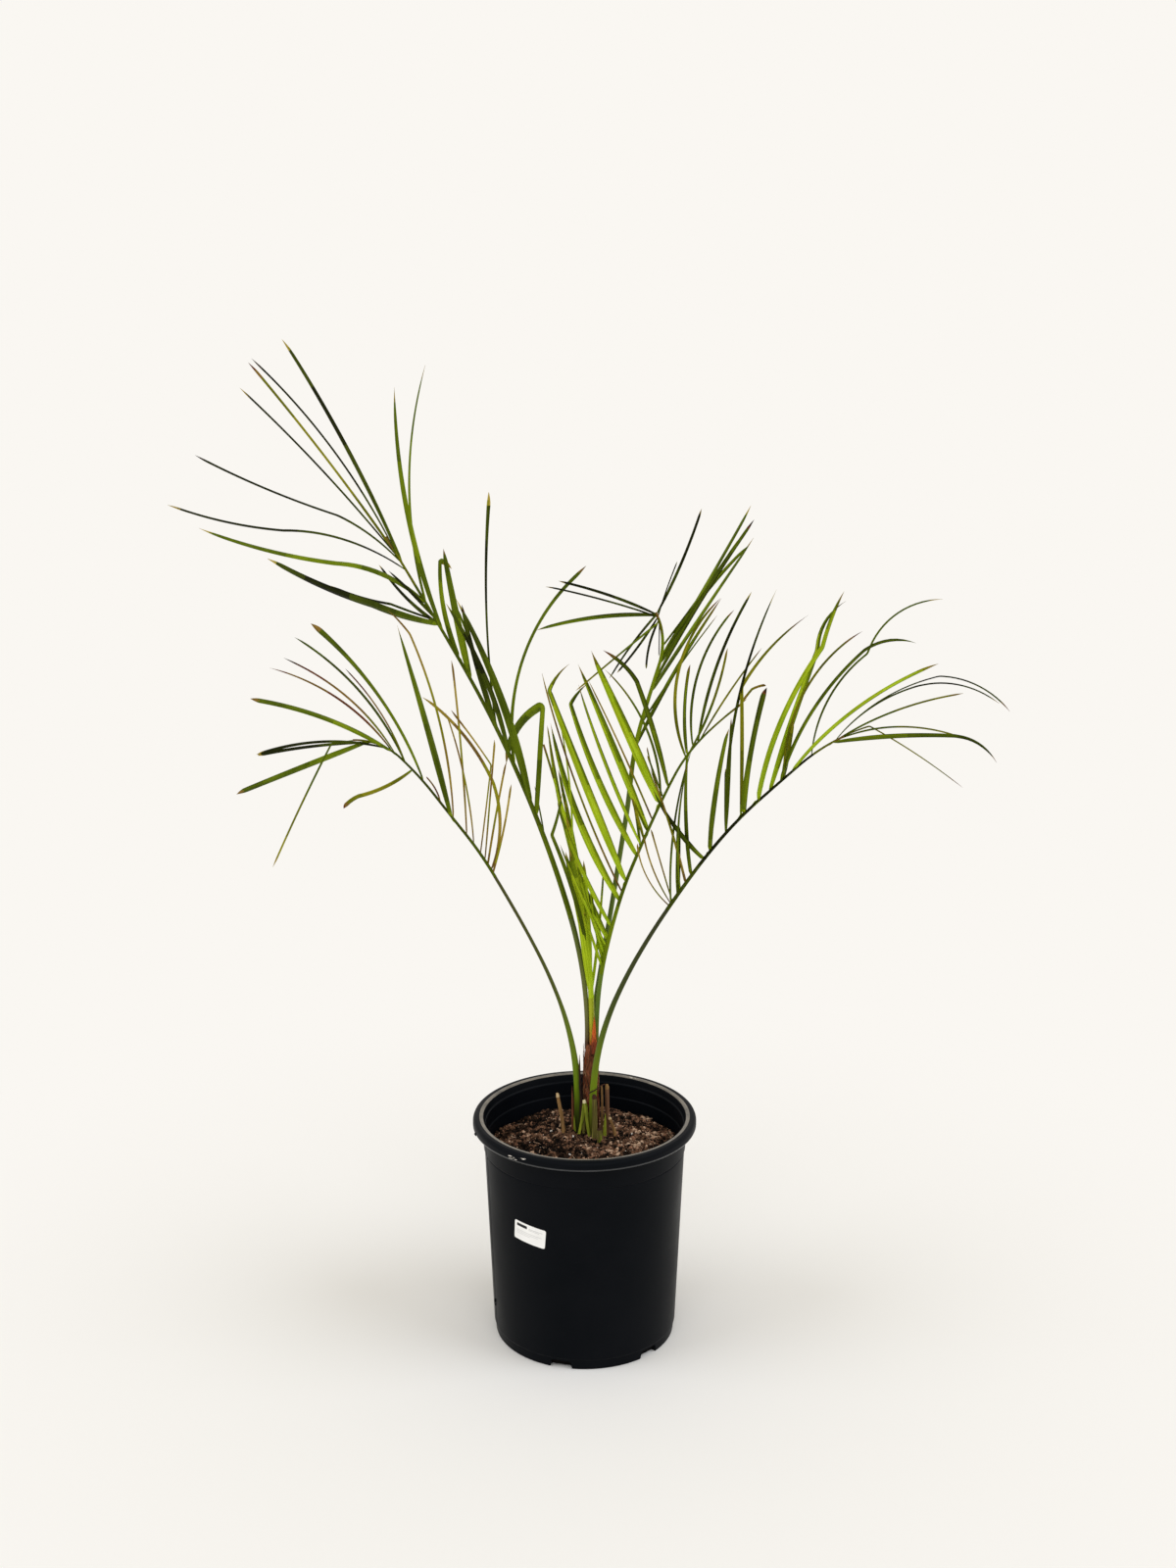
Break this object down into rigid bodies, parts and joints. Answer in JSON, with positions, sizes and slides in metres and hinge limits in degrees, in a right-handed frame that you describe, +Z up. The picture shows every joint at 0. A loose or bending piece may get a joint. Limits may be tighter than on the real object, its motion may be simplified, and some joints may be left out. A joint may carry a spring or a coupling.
{
  "type": "potted pindo palm",
  "caption": "Young pindo palm with arching feather fronds of narrow leaflets, growing in a round black nursery pot.",
  "frame": {"origin": "centre of the pot's flat underside", "axes": "+Z up along the pot's axis, -Y towards the viewer of the picture, +X to the viewer's right"},
  "size_m": [0.9394, 0.5609, 1.1379],
  "materials": {
    "pot": "matte black moulded plastic",
    "soil": "dark bark potting mix with pale flecks",
    "label": "plain white sticker",
    "stem": "dry brown leaf-base fibre",
    "sheath": "thin orange-red leaf sheath",
    "stub": "dry cut leaf bases",
    "petiole": "smooth green leaf stalks",
    "frond": "olive green leaflets with dry tips",
    "frond_young": "bright yellow-green leaflets"
  },
  "bodies": {
    "root": {"pot": "pot", "soil": "soil", "label": "label", "stem": "stem", "sheath": "sheath", "bract": "stem", "stub_left": "stub", "stub_cream": "stub", "stub_striped": "stub", "stub_thin": "stub", "stub_right": "stub", "stub_slant": "stub", "stub_low": "stub", "petiole_low_left": "petiole", "petiole_tall_left": "petiole", "petiole_spear": "petiole", "petiole_fan": "petiole", "petiole_tall_right": "petiole", "petiole_low_right": "petiole", "frond_low_left": "frond", "frond_tall_left": "frond", "frond_spear": "frond_young", "frond_fan": "frond_young", "frond_tall_right": "frond", "frond_low_right": "frond"}
  },
  "joints": []
}
